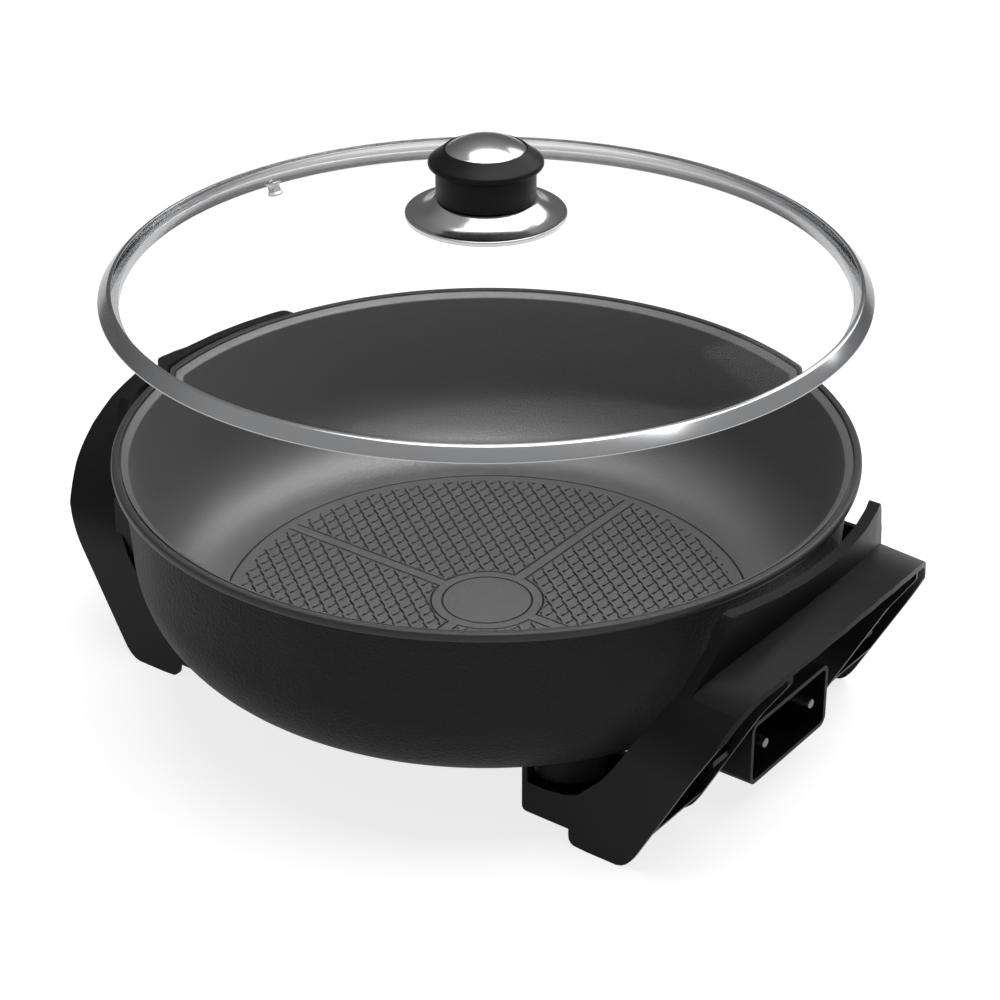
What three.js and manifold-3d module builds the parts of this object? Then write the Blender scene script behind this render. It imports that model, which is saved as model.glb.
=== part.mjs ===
// Electric skillet: a round die-cast pan on two moulded handles whose legs are its feet,
// with a plug-in socket under one handle and a domed glass lid that lifts straight off.
// Millimetres, +Z up. The origin is on the table, under the middle of the pan.
// The handles lie along X and the socket faces +X.

import * as THREE from 'three';
import { mergeVertices } from 'three/addons/utils/BufferGeometryUtils.js';
import Module from 'manifold-3d';

const wasm = await Module();
wasm.setup();

// General
const rimRadius = 180; // widest circle of the pan's rolled rim
const rimHeight = 128.3; // that circle above the table
const seatGap = 0.3; // clearance where two pieces seat on each other
const overrun = 4; // how far a cutting shape runs past what it cuts
const fullTurn = 2 * Math.PI;
const roundSides = 48; // facets round the pan and the lid
const handleSides = 64; // facets of the circles that shape the handles
const knobSides = 28;
const smallSides = 16;
const holeSides = 12;

// Pan
const panClearance = 34.3; // underside of the base above the table
const floorThickness = 6;
const wallThickness = 3.6;
const wallTaper = 2.9; // radius that the wall loses from its mouth down to the corner
const cornerWidth = 46; // outer corner between wall and base
const cornerHeight = 50;
const coveWidth = 35; // inner corner between wall and floor
const coveHeight = 42;
const beadWidth = 5; // rolled outer bead of the rim
const beadRise = 1.6;
const beadDrop = 3.4;
const rimGrooveWidth = 0.9; // groove between the bead and the inner ledge
const rimGrooveDepth = 1.8;
const ledgeWidth = 2.5;
const ledgeDrop = 0.7; // the ledge below the top of the bead
const ledgeRound = 1.4;

// Heating element, cast half into a ridge under the base
const elementInset = 70; // horseshoe's circle inside the rim's
const elementTube = 3.5; // radius of the sheath
const elementHeight = 35.3; // middle of the sheath above the table
const ridgeHalfWidth = 7;
const ridgeDrop = 4.4; // bottom of the ridge below the middle of the sheath

// Terminal block and socket
const pinSpacing = 40.8;
const pinRadius = 2.4;
const pinTip = 0.8; // length of the rounded tip
const blockInset = 30; // front face of the pan's terminal block inside the rim
const blockDepth = 30;
const blockHalfWidth = 30;
const blockHeight = 20;
const probeBore = 3.6; // radius of the bore for the thermostat's probe
const probeDepth = 24;
const bushRadius = 4.6;
const bushLength = 5;
const shroudWidth = 68;
const shroudHeight = 34;
const shroudWall = 2.4;
const shroudCorner = 5;
const shroudDepth = 25.5; // from the block's face to the shroud's open end
const shroudDrop = 0.5; // middle of the shroud below the pins
const shroudBack = 3;
const shroudScrewSpacing = 21;
const shroudScrewDrop = 7.4; // below the pins
const shroudScrewRadius = 1.5;
const shroudScrewLength = 12;
const shroudHeadRadius = 3;
const shroudHeadHeight = 1.8;

// Handles
const handleHalfWidth = 99; // to the outside of the leg plates
const handleWall = 3;
const wingWidth = 34; // outer edge of the wing past the rim
const wingFallSlope = 0.07; // fall of the wing for each millimetre outwards
const crownDrop = 13.2; // top of the wing in the middle, against the guard, below the rim
const crownRadius = 167;
const shoulderWidth = 29; // the crown turns down into the leg this far inside the handle's side
const legWidth = 41; // over the outer and the inner plate of a leg
const guardGap = 6.3; // between the rim and the heat guard
const guardThickness = 5.7;
const guardDrop = 2; // top of the guard below the rim's widest circle
const guardTopInset = 38; // ends of the guard's level top inside the handle's side
const guardSideInset = 28;
const guardSideDrop = 14;
const guardFootInset = 14;
const guardFootDrop = 37;
const armTop = 25.1; // seat of the pan's bosses on the leg's arm
const armEnd = 9.35; // inner end of the arm past the middle of the boss
const armBottom = 8.6;
const lugReach = 13; // small lug on the outside of an inner leg plate
const lugThickness = 3.2;
const lugDepth = 7;
const postWidth = 6; // upstand at the arm's inner end
const postRise = 8.9;

// Bosses and screws that hold the handles
const bossInset = 53; // middle of a boss inside the rim
const bossSide = 24.35; // middle of a boss inside the handle's side
const bossRadius = 18;
const screwRadius = 2;
const screwLength = 14;
const screwHeadRadius = 4.2;
const screwHeadHeight = 2.8;
const washerRadius = 5.5;
const washerThickness = 1;

// Lid
const lidLift = 82; // rest height of the lid above its seat
const lidOverhang = 0.5; // past the pan's rim
const bandSheet = 0.6;
const bandSkirtDepth = 4.5;
const skirtClearance = 0.5; // between the band's skirt and the mouth of the pan
const bandHeight = 6.2;
const bandConeWidth = 3.3;
const bandConeHeight = 4.9;
const bandLipWidth = 3.2;
const glassThickness = 3.2;
const glassInset = 4.7; // edge of the glass inside the band
const domeHeight = 35.8; // crown of the glass above the underside of the band
const domeEdgeHeight = 4.6; // top edge of the glass above the same
const ventInset = 50.5; // steam vent inside the band
const ventRadius = 3;
const ventBore = 1.8;
const ventFlange = 3.9;
const ventFlangeHeight = 1;
const ventTail = 3.4;
const ventRoll = 3.7;
const ventRollHeight = 0.8;

// Knob
const plateRadius = 37.6; // steel plate under the knob
const plateSheet = 1;
const plateRimHeight = 2.3;
const plateRise = 8.9; // top of the plate above its rim's underside
const collarRadius = 23.3;
const collarHeight = 14.2;
const gripRadius = 26.9;
const gripHeight = 9.5;
const gripUndercut = 4.6;
const capRadius = 18.6;
const capSeatDepth = 0.9;
const capRise = 6;
const capSheet = 0.8;
const knobScrewRadius = 2.5;
const knobScrewDepth = 7; // how far the screw enters the grip
const knobHeadRadius = 5;
const knobHeadHeight = 3;
const sealRadius = 12;
const sealThickness = 1.5;
const knobWasherRadius = 11;
const knobWasherThickness = 1.2;

// Derived places
const elementRadius = rimRadius - elementInset;
const blockFace = rimRadius - blockInset;
const shroudFace = blockFace + shroudDepth;
const wingReach = rimRadius + wingWidth;
const guardInner = rimRadius + guardGap;
const bossReach = rimRadius - bossInset;
const bossY = handleHalfWidth - bossSide;
const bossX = Math.sqrt(bossReach ** 2 - bossY ** 2);
const armInner = bossX - armEnd;
const legInner = handleHalfWidth - legWidth;
const armSide = legInner - handleWall;
const lidRadius = rimRadius + lidOverhang;
const glassRadius = lidRadius - glassInset;
const ventReach = lidRadius - ventInset;
const mouthRadius = rimRadius - beadWidth - rimGrooveWidth - ledgeWidth;
const beadTop = rimHeight + beadRise;
const ledgeTop = beadTop - ledgeDrop;
const floorHeight = panClearance + floorThickness;
const cornerRadius = mouthRadius + wallThickness - wallTaper;
const coveRadius = mouthRadius - wallTaper;
const handleScrewHole = screwRadius + seatGap;
const crownHeight = rimHeight - crownDrop;
const shoulderStart = handleHalfWidth - shoulderWidth;
const guardTopHalf = handleHalfWidth - guardTopInset;
const guardSideHalf = handleHalfWidth - guardSideInset;
const guardFootHalf = handleHalfWidth - guardFootInset;
const guardFoot = rimHeight - guardDrop - guardFootDrop;
const lidSeat = beadTop + seatGap;

// Finishes
const finish = (color, roughness, metalness) => new THREE.MeshStandardMaterial({ color, roughness, metalness });
const castCoating = finish('#3a3a3c', 0.55, 0.2);
const elementSteel = finish('#6e6a66', 0.45, 0.9);
const brightSteel = finish('#c9cbcc', 0.22, 1);
const satinSteel = finish('#8f9091', 0.35, 1);
const phenolic = finish('#232325', 0.45, 0);
const knobBlack = finish('#1d1d1e', 0.35, 0);
const ceramic = finish('#e4dfd2', 0.6, 0);
const silicone = finish('#2b2b2b', 0.8, 0);
const zincScrew = finish('#a5a7a8', 0.35, 1);
const lidGlass = new THREE.MeshStandardMaterial({
  color: '#eef2f3', roughness: 0.05, metalness: 0, transparent: true, opacity: 0.25,
});

// Shared vertices, no zero-area triangles, and faces that point outwards.
function weld(geometry) {
  const bare = geometry.clone();
  bare.deleteAttribute('normal');
  bare.deleteAttribute('uv');
  const merged = mergeVertices(bare);
  const { array } = merged.getAttribute('position');
  const corners = merged.getIndex().array;
  const a = new THREE.Vector3();
  const b = new THREE.Vector3();
  const c = new THREE.Vector3();
  const kept = [];
  let volume = 0;
  for (let i = 0; i < corners.length; i += 3) {
    const [p, q, r] = corners.slice(i, i + 3);
    if (p === q || q === r || r === p) continue;
    a.fromArray(array, 3 * p);
    b.fromArray(array, 3 * q);
    c.fromArray(array, 3 * r);
    volume += a.dot(b.cross(c));
    kept.push(p, q, r);
  }
  if (volume < 0) kept.reverse();
  merged.setIndex(kept);
  return merged;
}

function toSolid(geometry) {
  const welded = weld(geometry);
  return new wasm.Manifold(new wasm.Mesh({
    numProp: 3,
    vertProperties: new Float32Array(welded.getAttribute('position').array),
    triVerts: new Uint32Array(welded.getIndex().array),
  }));
}

function toGeometry(solid) {
  const mesh = solid.getMesh();
  const geometry = new THREE.BufferGeometry();
  geometry.setAttribute('position', new THREE.BufferAttribute(mesh.vertProperties, 3));
  geometry.setIndex(new THREE.BufferAttribute(mesh.triVerts, 1));
  return geometry;
}

const join = (first, ...others) => others.reduce((sum, solid) => sum.add(solid), first);
const cut = (first, ...others) => others.reduce((rest, solid) => rest.subtract(solid), first);

function piece(name, solid, material) {
  const geometry = toGeometry(solid);
  geometry.computeVertexNormals();
  const mesh = new THREE.Mesh(geometry, material);
  mesh.name = name;
  return mesh;
}

// A profile of radius and height turned about Z.
function revolve(points, sides = roundSides) {
  return toSolid(new THREE.LatheGeometry(points, sides).rotateX(Math.PI / 2));
}

// A closed profile, given as [radius, height] pairs, turned about Z.
function ring(pairs, sides = roundSides) {
  const points = [...pairs, pairs[0]].map(([radius, height]) => new THREE.Vector2(radius, height));
  return revolve(points, sides);
}

function disc(radius, bottom, top, sides = smallSides) {
  const corners = [[0, bottom], [radius, bottom], [radius, top], [0, top]];
  return revolve(corners.map(([r, h]) => new THREE.Vector2(r, h)), sides);
}

function washer(outer, inner, bottom, top, sides = smallSides) {
  return ring([[inner, bottom], [outer, bottom], [outer, top], [inner, top]], sides);
}

function extrude(shape, depth, curveSegments = 4) {
  return new THREE.ExtrudeGeometry(shape, { depth, bevelEnabled: false, curveSegments });
}

// An outline in X and Z, run along Y from one place to another.
function alongY(shape, from, to) {
  const turn = new THREE.Matrix4().makeBasis(
    new THREE.Vector3(1, 0, 0),
    new THREE.Vector3(0, 0, 1),
    new THREE.Vector3(0, -1, 0),
  );
  return toSolid(extrude(shape, to - from).applyMatrix4(turn).translate(0, to, 0));
}

// An outline in Y and Z, run along X from one place to another.
function alongX(shape, from, to) {
  const turn = new THREE.Matrix4().makeBasis(
    new THREE.Vector3(0, 1, 0),
    new THREE.Vector3(0, 0, 1),
    new THREE.Vector3(1, 0, 0),
  );
  return toSolid(extrude(shape, to - from).applyMatrix4(turn).translate(from, 0, 0));
}

function block(x0, x1, y0, y1, z0, z1) {
  const box = new THREE.BoxGeometry(x1 - x0, y1 - y0, z1 - z0);
  return toSolid(box.translate((x0 + x1) / 2, (y0 + y1) / 2, (z0 + z1) / 2));
}

// A round rod along X.
function rodX(radius, from, to, y, z, sides = smallSides) {
  const rod = new THREE.CylinderGeometry(radius, radius, to - from, sides);
  return toSolid(rod.rotateZ(Math.PI / 2).translate((from + to) / 2, y, z));
}

function roundedRectangle(halfWidth, bottom, top, radius) {
  const shape = new THREE.Shape();
  shape.moveTo(-halfWidth + radius, bottom);
  shape.lineTo(halfWidth - radius, bottom);
  shape.absarc(halfWidth - radius, bottom + radius, radius, -Math.PI / 2, 0);
  shape.lineTo(halfWidth, top - radius);
  shape.absarc(halfWidth - radius, top - radius, radius, 0, Math.PI / 2);
  shape.lineTo(-halfWidth + radius, top);
  shape.absarc(-halfWidth + radius, top - radius, radius, Math.PI / 2, Math.PI);
  shape.lineTo(-halfWidth, bottom + radius);
  shape.absarc(-halfWidth + radius, bottom + radius, radius, Math.PI, 1.5 * Math.PI);
  return shape;
}

// Outside of the pan below its rim, grown by a clearance for what has to stay clear of it.
function panOutside(path, grow) {
  const bottom = panClearance - grow;
  path.moveTo(0, bottom);
  path.lineTo(cornerRadius - cornerWidth, bottom);
  path.absellipse(
    cornerRadius - cornerWidth, panClearance + cornerHeight,
    cornerWidth + grow, cornerHeight + grow, -Math.PI / 2, 0, false,
  );
  path.lineTo(mouthRadius + wallThickness + grow, rimHeight - beadDrop);
}

function panClearanceSolid(grow) {
  const path = new THREE.Path();
  panOutside(path, grow);
  path.lineTo(0, rimHeight - beadDrop);
  return revolve(path.getPoints(3));
}

// The casting's outside with its rolled rim, filled in to the axis.
function panOuter() {
  const path = new THREE.Path();
  const beadMiddle = rimRadius - beadWidth / 2;
  const beadInner = rimRadius - beadWidth;
  const grooveInner = beadInner - rimGrooveWidth;
  panOutside(path, 0);
  path.quadraticCurveTo(rimRadius, rimHeight - beadDrop, rimRadius, rimHeight);
  path.quadraticCurveTo(rimRadius, beadTop, beadMiddle, beadTop);
  path.quadraticCurveTo(beadInner, beadTop, beadInner, beadTop - rimGrooveDepth);
  path.lineTo(grooveInner, beadTop - rimGrooveDepth);
  path.lineTo(grooveInner, ledgeTop);
  path.lineTo(0, ledgeTop);
  return revolve(path.getPoints(3));
}

// The space that the food goes in, with the rounded lip of the ledge.
function panInside() {
  const path = new THREE.Path();
  path.moveTo(0, floorHeight);
  path.lineTo(coveRadius - coveWidth, floorHeight);
  path.absellipse(
    coveRadius - coveWidth, floorHeight + coveHeight, coveWidth, coveHeight, -Math.PI / 2, 0, false,
  );
  path.lineTo(mouthRadius, ledgeTop - ledgeRound);
  path.quadraticCurveTo(mouthRadius, ledgeTop, mouthRadius + ledgeRound, ledgeTop);
  path.lineTo(mouthRadius + ledgeRound, ledgeTop + overrun);
  path.lineTo(0, ledgeTop + overrun);
  return revolve(path.getPoints(3));
}

// The element's horseshoe, which leaves the pan as two straight legs along X.
function elementCurve() {
  const legEnd = blockFace + elementTube / 2;
  const half = pinSpacing / 2;
  const legStart = Math.sqrt(elementRadius ** 2 - half ** 2);
  const openAngle = Math.asin(half / elementRadius);
  const bendAngle = 2.6 * openAngle;
  const points = [];
  const arcSteps = 16;
  for (let i = 0; i <= arcSteps; i += 1) {
    const angle = bendAngle + (i / arcSteps) * (fullTurn - 2 * bendAngle);
    points.push([elementRadius * Math.cos(angle), elementRadius * Math.sin(angle)]);
  }
  const bendShares = [0.62, 0.8, 1];
  const legs = bendShares.map((share) => legStart + share * (legEnd - legStart));
  const first = legs.slice().reverse().map((x) => [x, half]);
  const last = legs.map((x) => [x, -half]);
  const route = [...first, ...points, ...last];
  return new THREE.CatmullRomCurve3(route.map(([x, y]) => new THREE.Vector3(x, y, elementHeight)), false, 'centripetal');
}

// A section swept along the element: its first axis points down and its second sideways.
function sweep(shape) {
  const extrudePath = elementCurve();
  return toSolid(new THREE.ExtrudeGeometry(shape, { steps: 46, extrudePath, curveSegments: 4 }));
}

function circleShape(radius) {
  const shape = new THREE.Shape();
  shape.absarc(0, 0, radius, 0, fullTurn);
  return shape;
}

const bossPlaces = [-1, 1].flatMap((end) => [-1, 1].map((side) => ({
  x: end * bossX,
  y: side * bossY,
})));

function at(solid, x, y, z = 0) {
  return solid.translate([x, y, z]);
}

function makePan() {
  const ridge = new THREE.Shape();
  ridge.moveTo(-elementTube, -ridgeHalfWidth);
  ridge.lineTo(ridgeDrop, -ridgeHalfWidth);
  ridge.lineTo(ridgeDrop, ridgeHalfWidth);
  ridge.lineTo(-elementTube, ridgeHalfWidth);
  const grooveRadius = elementTube + seatGap;
  const groove = new THREE.Shape();
  groove.moveTo(ridgeDrop + overrun, -grooveRadius);
  groove.lineTo(ridgeDrop + overrun, grooveRadius);
  groove.lineTo(0, grooveRadius);
  groove.absarc(0, 0, grooveRadius, Math.PI / 2, 1.5 * Math.PI);
  const underPan = disc(blockFace - blockDepth / 2, 0, rimHeight, roundSides);
  const bossBottom = armTop + seatGap;
  const blockBottom = elementHeight - blockHeight / 2;

  let pan = join(panOuter(), sweep(ridge).intersect(underPan));
  for (const { x, y } of bossPlaces) {
    pan = pan.add(at(disc(bossRadius, bossBottom, floorHeight, 20), x, y));
  }
  pan = pan.subtract(sweep(groove).intersect(underPan));
  pan = pan.add(block(
    blockFace - blockDepth, blockFace, -blockHalfWidth, blockHalfWidth, blockBottom, blockBottom + blockHeight,
  ));
  pan = cut(
    pan,
    panInside(),
    sweep(circleShape(grooveRadius)),
    rodX(probeBore, blockFace - probeDepth, blockFace + overrun, 0, elementHeight),
  );
  const screwHeight = elementHeight - shroudScrewDrop;
  for (const side of [-1, 1]) {
    const y = side * shroudScrewSpacing / 2;
    const hole = shroudScrewRadius + seatGap;
    pan = pan.subtract(rodX(hole, blockFace - shroudScrewLength, blockFace + overrun, y, screwHeight, holeSides));
  }
  for (const { x, y } of bossPlaces) {
    const holeTop = bossBottom + screwLength - handleWall;
    pan = pan.subtract(at(disc(handleScrewHole, bossBottom - overrun, holeTop, holeSides), x, y));
  }
  return pan;
}

function makeElement() {
  return sweep(circleShape(elementTube));
}

// The parts of one terminal, from the end of the sheath outwards.
const terminalStart = blockFace + elementTube / 2 + seatGap;
const terminalEnd = shroudFace;

function makePin(side) {
  const y = side * pinSpacing / 2;
  const straightEnd = terminalEnd - pinTip;
  const shaft = rodX(pinRadius, terminalStart, straightEnd, y, elementHeight);
  const tip = new THREE.SphereGeometry(1, 16, 8).rotateX(Math.PI / 2);
  const nose = toSolid(tip.scale(pinTip, pinRadius, pinRadius).translate(straightEnd, y, elementHeight));
  return shaft.add(nose);
}

function makeBush(side) {
  const y = side * pinSpacing / 2;
  const start = terminalStart;
  const body = rodX(bushRadius, start, start + bushLength, y, elementHeight);
  const bore = rodX(pinRadius + seatGap, start - overrun, start + bushLength + overrun, y, elementHeight);
  return body.subtract(bore);
}

function makeShroud() {
  const middle = elementHeight - shroudDrop;
  const bottom = middle - shroudHeight / 2;
  const top = middle + shroudHeight / 2;
  const half = shroudWidth / 2;
  const back = blockFace + seatGap;
  const outer = alongX(roundedRectangle(half, bottom, top, shroudCorner), back, shroudFace);
  const inner = alongX(
    roundedRectangle(half - shroudWall, bottom + shroudWall, top - shroudWall, shroudCorner - shroudWall),
    back + shroudBack, shroudFace + overrun,
  );
  let shroud = cut(outer, inner, panClearanceSolid(2 * seatGap));
  const through = [back - overrun, back + shroudBack + overrun];
  shroud = shroud.subtract(rodX(probeBore + seatGap, ...through, 0, elementHeight));
  for (const side of [-1, 1]) {
    const screwY = side * shroudScrewSpacing / 2;
    shroud = cut(
      shroud,
      rodX(bushRadius + seatGap, ...through, side * pinSpacing / 2, elementHeight),
      rodX(shroudScrewRadius + seatGap, ...through, screwY, elementHeight - shroudScrewDrop, holeSides),
    );
  }
  return shroud;
}

function makeShroudScrew(side) {
  const y = side * shroudScrewSpacing / 2;
  const z = elementHeight - shroudScrewDrop;
  const seat = blockFace + seatGap + shroudBack + seatGap;
  const tip = blockFace - shroudScrewLength + 2 * seatGap;
  const shank = rodX(shroudScrewRadius, tip, seat + shroudHeadHeight / 2, y, z, holeSides);
  const head = rodX(shroudHeadRadius, seat, seat + shroudHeadHeight, y, z);
  return shank.add(head);
}

// Front view of a handle: an arched crown whose shoulders turn down into the leg plates.
function crownOutline(inset) {
  const radius = crownRadius - inset;
  const centre = crownHeight - crownRadius;
  const startAngle = Math.asin(shoulderStart / crownRadius);
  const shoulder = (handleHalfWidth - shoulderStart) / (1 - Math.sin(startAngle));
  const shoulderY = handleHalfWidth - shoulder;
  const shoulderZ = centre + (crownRadius - shoulder) * Math.cos(startAngle);
  const half = handleHalfWidth - inset;
  const bottom = -overrun - inset;
  const shape = new THREE.Shape();
  shape.moveTo(-half, bottom);
  shape.lineTo(half, bottom);
  shape.absarc(shoulderY, shoulderZ, shoulder - inset, 0, Math.PI / 2 - startAngle, false);
  shape.absarc(0, centre, radius, Math.PI / 2 - startAngle, Math.PI / 2 + startAngle, false);
  shape.absarc(-shoulderY, shoulderZ, shoulder - inset, Math.PI / 2 + startAngle, Math.PI, false);
  return shape;
}

// The crown run outwards along X, falling a little towards the wing's edge.
function crownSolid(inset) {
  const start = armInner - overrun;
  const slope = new THREE.Matrix4().set(
    1, 0, 0, 0,
    0, 1, 0, 0,
    -wingFallSlope, 0, 1, wingFallSlope * guardInner,
    0, 0, 0, 1,
  );
  const turn = new THREE.Matrix4().makeBasis(
    new THREE.Vector3(0, 1, 0),
    new THREE.Vector3(0, 0, 1),
    new THREE.Vector3(1, 0, 0),
  );
  const run = extrude(crownOutline(inset), wingReach + overrun - start, 7).applyMatrix4(turn);
  return toSolid(run.translate(start, 0, 0).applyMatrix4(slope));
}

// Side view of a leg, as shares of the wing's reach and of the rim's height.
const legSlopeShares = [[1.0093, 0.873], [0.9, 0.596]];
const legToeShares = [[0.73, 0.0733], [0.7105, 0.006], [0.682, 0]];
const legHeelShares = [[0.586, 0], [0.5585, 0], [0.5585, 0.04]];
const legKneeShares = [[0.575, 0.182], [0.6005, 0.2611]];
const legRiseShares = [[0.637, 0.3242], [0.6722, 0.3967], [0.714, 0.5316]];
const legTopShares = [[0.7313, 0.5752], [0.775, 0.705]];
const lugPlaceShares = [0.831, 0.3913];
const innerToeShares = [[0.76, 0.158], [0.736, 0.0795], [0.69, 0.0748]];

function legOutline(toe, heel) {
  const place = ([x, z]) => [x * wingReach, z * rimHeight];
  const shape = new THREE.Shape();
  const curve = ([start, middle, end]) => {
    shape.lineTo(...place(start));
    shape.quadraticCurveTo(...place(middle), ...place(end));
  };
  shape.moveTo(...place(legSlopeShares[0]));
  shape.lineTo(...place(legSlopeShares[1]));
  curve(toe);
  const bottom = heel ? armBottom : toe[2][1] * rimHeight;
  if (heel) {
    curve(heel);
    shape.lineTo(heel[2][0] * wingReach, bottom);
  }
  const heelRound = postWidth / 2;
  shape.lineTo(armInner + heelRound, bottom);
  shape.quadraticCurveTo(armInner, bottom, armInner, bottom + heelRound);
  shape.lineTo(armInner, armTop);
  shape.quadraticCurveTo(...place(legKneeShares[0]), ...place(legKneeShares[1]));
  curve(legRiseShares);
  for (const corner of legTopShares) shape.lineTo(...place(corner));
  shape.lineTo(legTopShares[1][0] * wingReach, rimHeight + overrun);
  shape.lineTo(legSlopeShares[0][0] * wingReach, rimHeight + overrun);
  return shape;
}

// The heat guard: a slice of a ring whose ends sweep down into the shoulders.
function guardOutline() {
  const top = rimHeight - guardDrop;
  const bottom = crownHeight - crownRadius / 4;
  const side = top - guardSideDrop;
  const corner = guardSideHalf - guardTopHalf;
  const half = [
    [guardFootHalf, guardFoot],
    [guardSideHalf + corner / 3, side - guardSideDrop / 2, guardSideHalf, side],
    [guardSideHalf - corner / 3, top, guardTopHalf, top],
  ];
  const shape = new THREE.Shape();
  shape.moveTo(guardFootHalf, bottom);
  shape.lineTo(...half[0]);
  shape.quadraticCurveTo(...half[1]);
  shape.quadraticCurveTo(...half[2]);
  shape.lineTo(-guardTopHalf, top);
  shape.quadraticCurveTo(-half[2][0], half[2][1], -guardSideHalf, side);
  shape.quadraticCurveTo(-half[1][0], half[1][1], -guardFootHalf, guardFoot);
  shape.lineTo(-guardFootHalf, bottom);
  return shape;
}

function makeHandle() {
  const wide = handleHalfWidth + overrun;
  const high = rimHeight + overrun;
  const outside = crownSolid(0);
  const inside = crownSolid(handleWall);
  const leg = alongY(legOutline(legToeShares, legHeelShares), -wide, wide);
  const reach = disc(wingReach, -overrun, high, handleSides);
  let handle = outside.intersect(leg).intersect(reach).subtract(inside);

  // Between the shoulders, the crown stops at the guard's inner circle.
  const top = crownHeight + overrun;
  const innerCircle = disc(guardInner, guardFoot, top, handleSides);
  const betweenShoulders = block(0, wingReach, -guardFootHalf, guardFootHalf, armTop + handleWall, top);
  const behindCircle = disc(guardInner, 0, top, handleSides).intersect(betweenShoulders);
  handle = cut(handle, innerCircle, behindCircle);

  // The guard reaches down to the underside of the crown.
  const guardRing = washer(guardInner + guardThickness, guardInner, armTop, high, handleSides);
  const guardSlab = alongX(guardOutline(), armInner, wingReach);
  handle = handle.add(guardRing.intersect(guardSlab).subtract(inside));

  // Arms that reach under the pan: a web with an inner plate and an upstand at its end.
  const arms = outside.intersect(leg);
  const innerLeg = alongY(legOutline(innerToeShares), -wide, wide);
  const innerSide = outside.intersect(innerLeg).intersect(reach).subtract(panClearanceSolid(guardGap));
  for (const side of [-1, 1]) {
    const near = side < 0 ? -wide : armSide;
    const far = side < 0 ? -armSide : wide;
    const web = block(armInner, wingReach, near, far, armTop - handleWall, armTop);
    const plateNear = side < 0 ? -legInner : armSide;
    const plate = block(armInner, wingReach, plateNear, plateNear + handleWall, 0, high);
    const endWall = block(armInner, armInner + handleWall, near, far, armBottom, armTop);
    handle = handle.add(join(web, endWall).intersect(arms));
    handle = handle.add(plate.intersect(innerSide));
    const lugFront = lugPlaceShares[0] * wingReach;
    const lugBottom = lugPlaceShares[1] * rimHeight;
    const lugEnds = [side * (legInner - handleWall / 2), side * (legInner + lugReach)].sort((a, b) => a - b);
    handle = handle.add(block(lugFront - lugDepth, lugFront, ...lugEnds, lugBottom, lugBottom + lugThickness));
    const postOuter = side * handleHalfWidth;
    const postInner = side * (handleHalfWidth - postWidth);
    handle = handle.add(block(
      armInner, armInner + handleWall, Math.min(postOuter, postInner), Math.max(postOuter, postInner),
      armBottom + handleWall, armTop + postRise,
    ));
    const hole = disc(handleScrewHole, 0, armTop + overrun, holeSides);
    handle = handle.subtract(at(hole, bossX, side * bossY));
  }
  return handle;
}

function makeHandleScrew({ x, y }) {
  const underWeb = armTop - handleWall;
  const head = underWeb - seatGap - washerThickness - seatGap;
  const shank = disc(screwRadius, head - screwHeadHeight / 2, underWeb + screwLength, holeSides);
  return at(join(disc(screwHeadRadius, head - screwHeadHeight, head), shank), x, y);
}

function makeHandleWasher({ x, y }) {
  const top = armTop - handleWall - seatGap;
  return at(washer(washerRadius, screwRadius + seatGap, top - washerThickness, top), x, y);
}

// The lid's pieces are drawn with the underside of the band at height zero.
const sphereOver = (radius, rise) => (radius ** 2 + rise ** 2) / (2 * rise);
const domeRadius = sphereOver(glassRadius, domeHeight - domeEdgeHeight);
const domeCentre = domeHeight - domeRadius;
const domeTopAt = (radius) => domeCentre + Math.sqrt(domeRadius ** 2 - radius ** 2);
const crownUnder = domeHeight - glassThickness;

function makeBand() {
  const skirtOuter = mouthRadius - skirtClearance;
  const skirtInner = skirtOuter - bandSheet;
  const coneTop = lidRadius - bandConeWidth;
  const lipEdge = coneTop - bandLipWidth;
  return ring([
    [lidRadius, 0],
    [lidRadius, bandSheet],
    [coneTop, bandConeHeight],
    [coneTop - bandLipWidth / 3, bandHeight - bandSheet / 2],
    [lipEdge, bandHeight],
    [lipEdge, bandHeight - bandSheet],
    [coneTop - bandLipWidth / 3, bandHeight - 2 * bandSheet],
    [coneTop - bandSheet, bandConeHeight - bandSheet],
    [lidRadius - 2 * bandSheet, bandSheet],
    [skirtInner, bandSheet],
    [skirtInner, -bandSkirtDepth],
    [skirtOuter, -bandSkirtDepth],
    [skirtOuter, 0],
  ]);
}

const ventTilt = Math.asin(ventReach / domeRadius);

// Moves a piece drawn about Z at the glass's top onto the vent's place, square to the dome.
function ventPlace(solid) {
  const degrees = THREE.MathUtils.radToDeg(-ventTilt);
  return solid.translate([0, 0, domeRadius]).rotate([0, degrees, 0]).translate([0, 0, domeCentre]);
}

function makeGlass() {
  const path = new THREE.Path();
  const edgeAngle = Math.acos(glassRadius / domeRadius);
  const innerRadius = domeRadius - glassThickness;
  const innerEdge = Math.acos(glassRadius / innerRadius);
  path.moveTo(0, crownUnder);
  path.absarc(0, domeCentre, innerRadius, Math.PI / 2, innerEdge, true);
  path.absarc(0, domeCentre, domeRadius, edgeAngle, Math.PI / 2, false);
  const dome = revolve(path.getPoints(3));
  const stem = ventRadius + seatGap;
  return cut(
    dome,
    disc(knobScrewRadius + seatGap, 0, domeHeight + overrun),
    ventPlace(disc(stem, -glassThickness - overrun, overrun)),
  );
}

function makeVent() {
  const under = -glassThickness - seatGap;
  return ventPlace(ring([
    [ventBore, under - ventTail],
    [ventRoll, under - ventTail],
    [ventRoll, under - ventTail + ventRollHeight],
    [ventRadius, under - ventTail + 2 * ventRollHeight],
    [ventRadius, seatGap],
    [ventFlange, seatGap],
    [ventFlange, seatGap + ventFlangeHeight / 2],
    [ventFlange - ventFlangeHeight / 2, seatGap + ventFlangeHeight],
    [ventBore, seatGap + ventFlangeHeight],
  ], smallSides));
}

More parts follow.
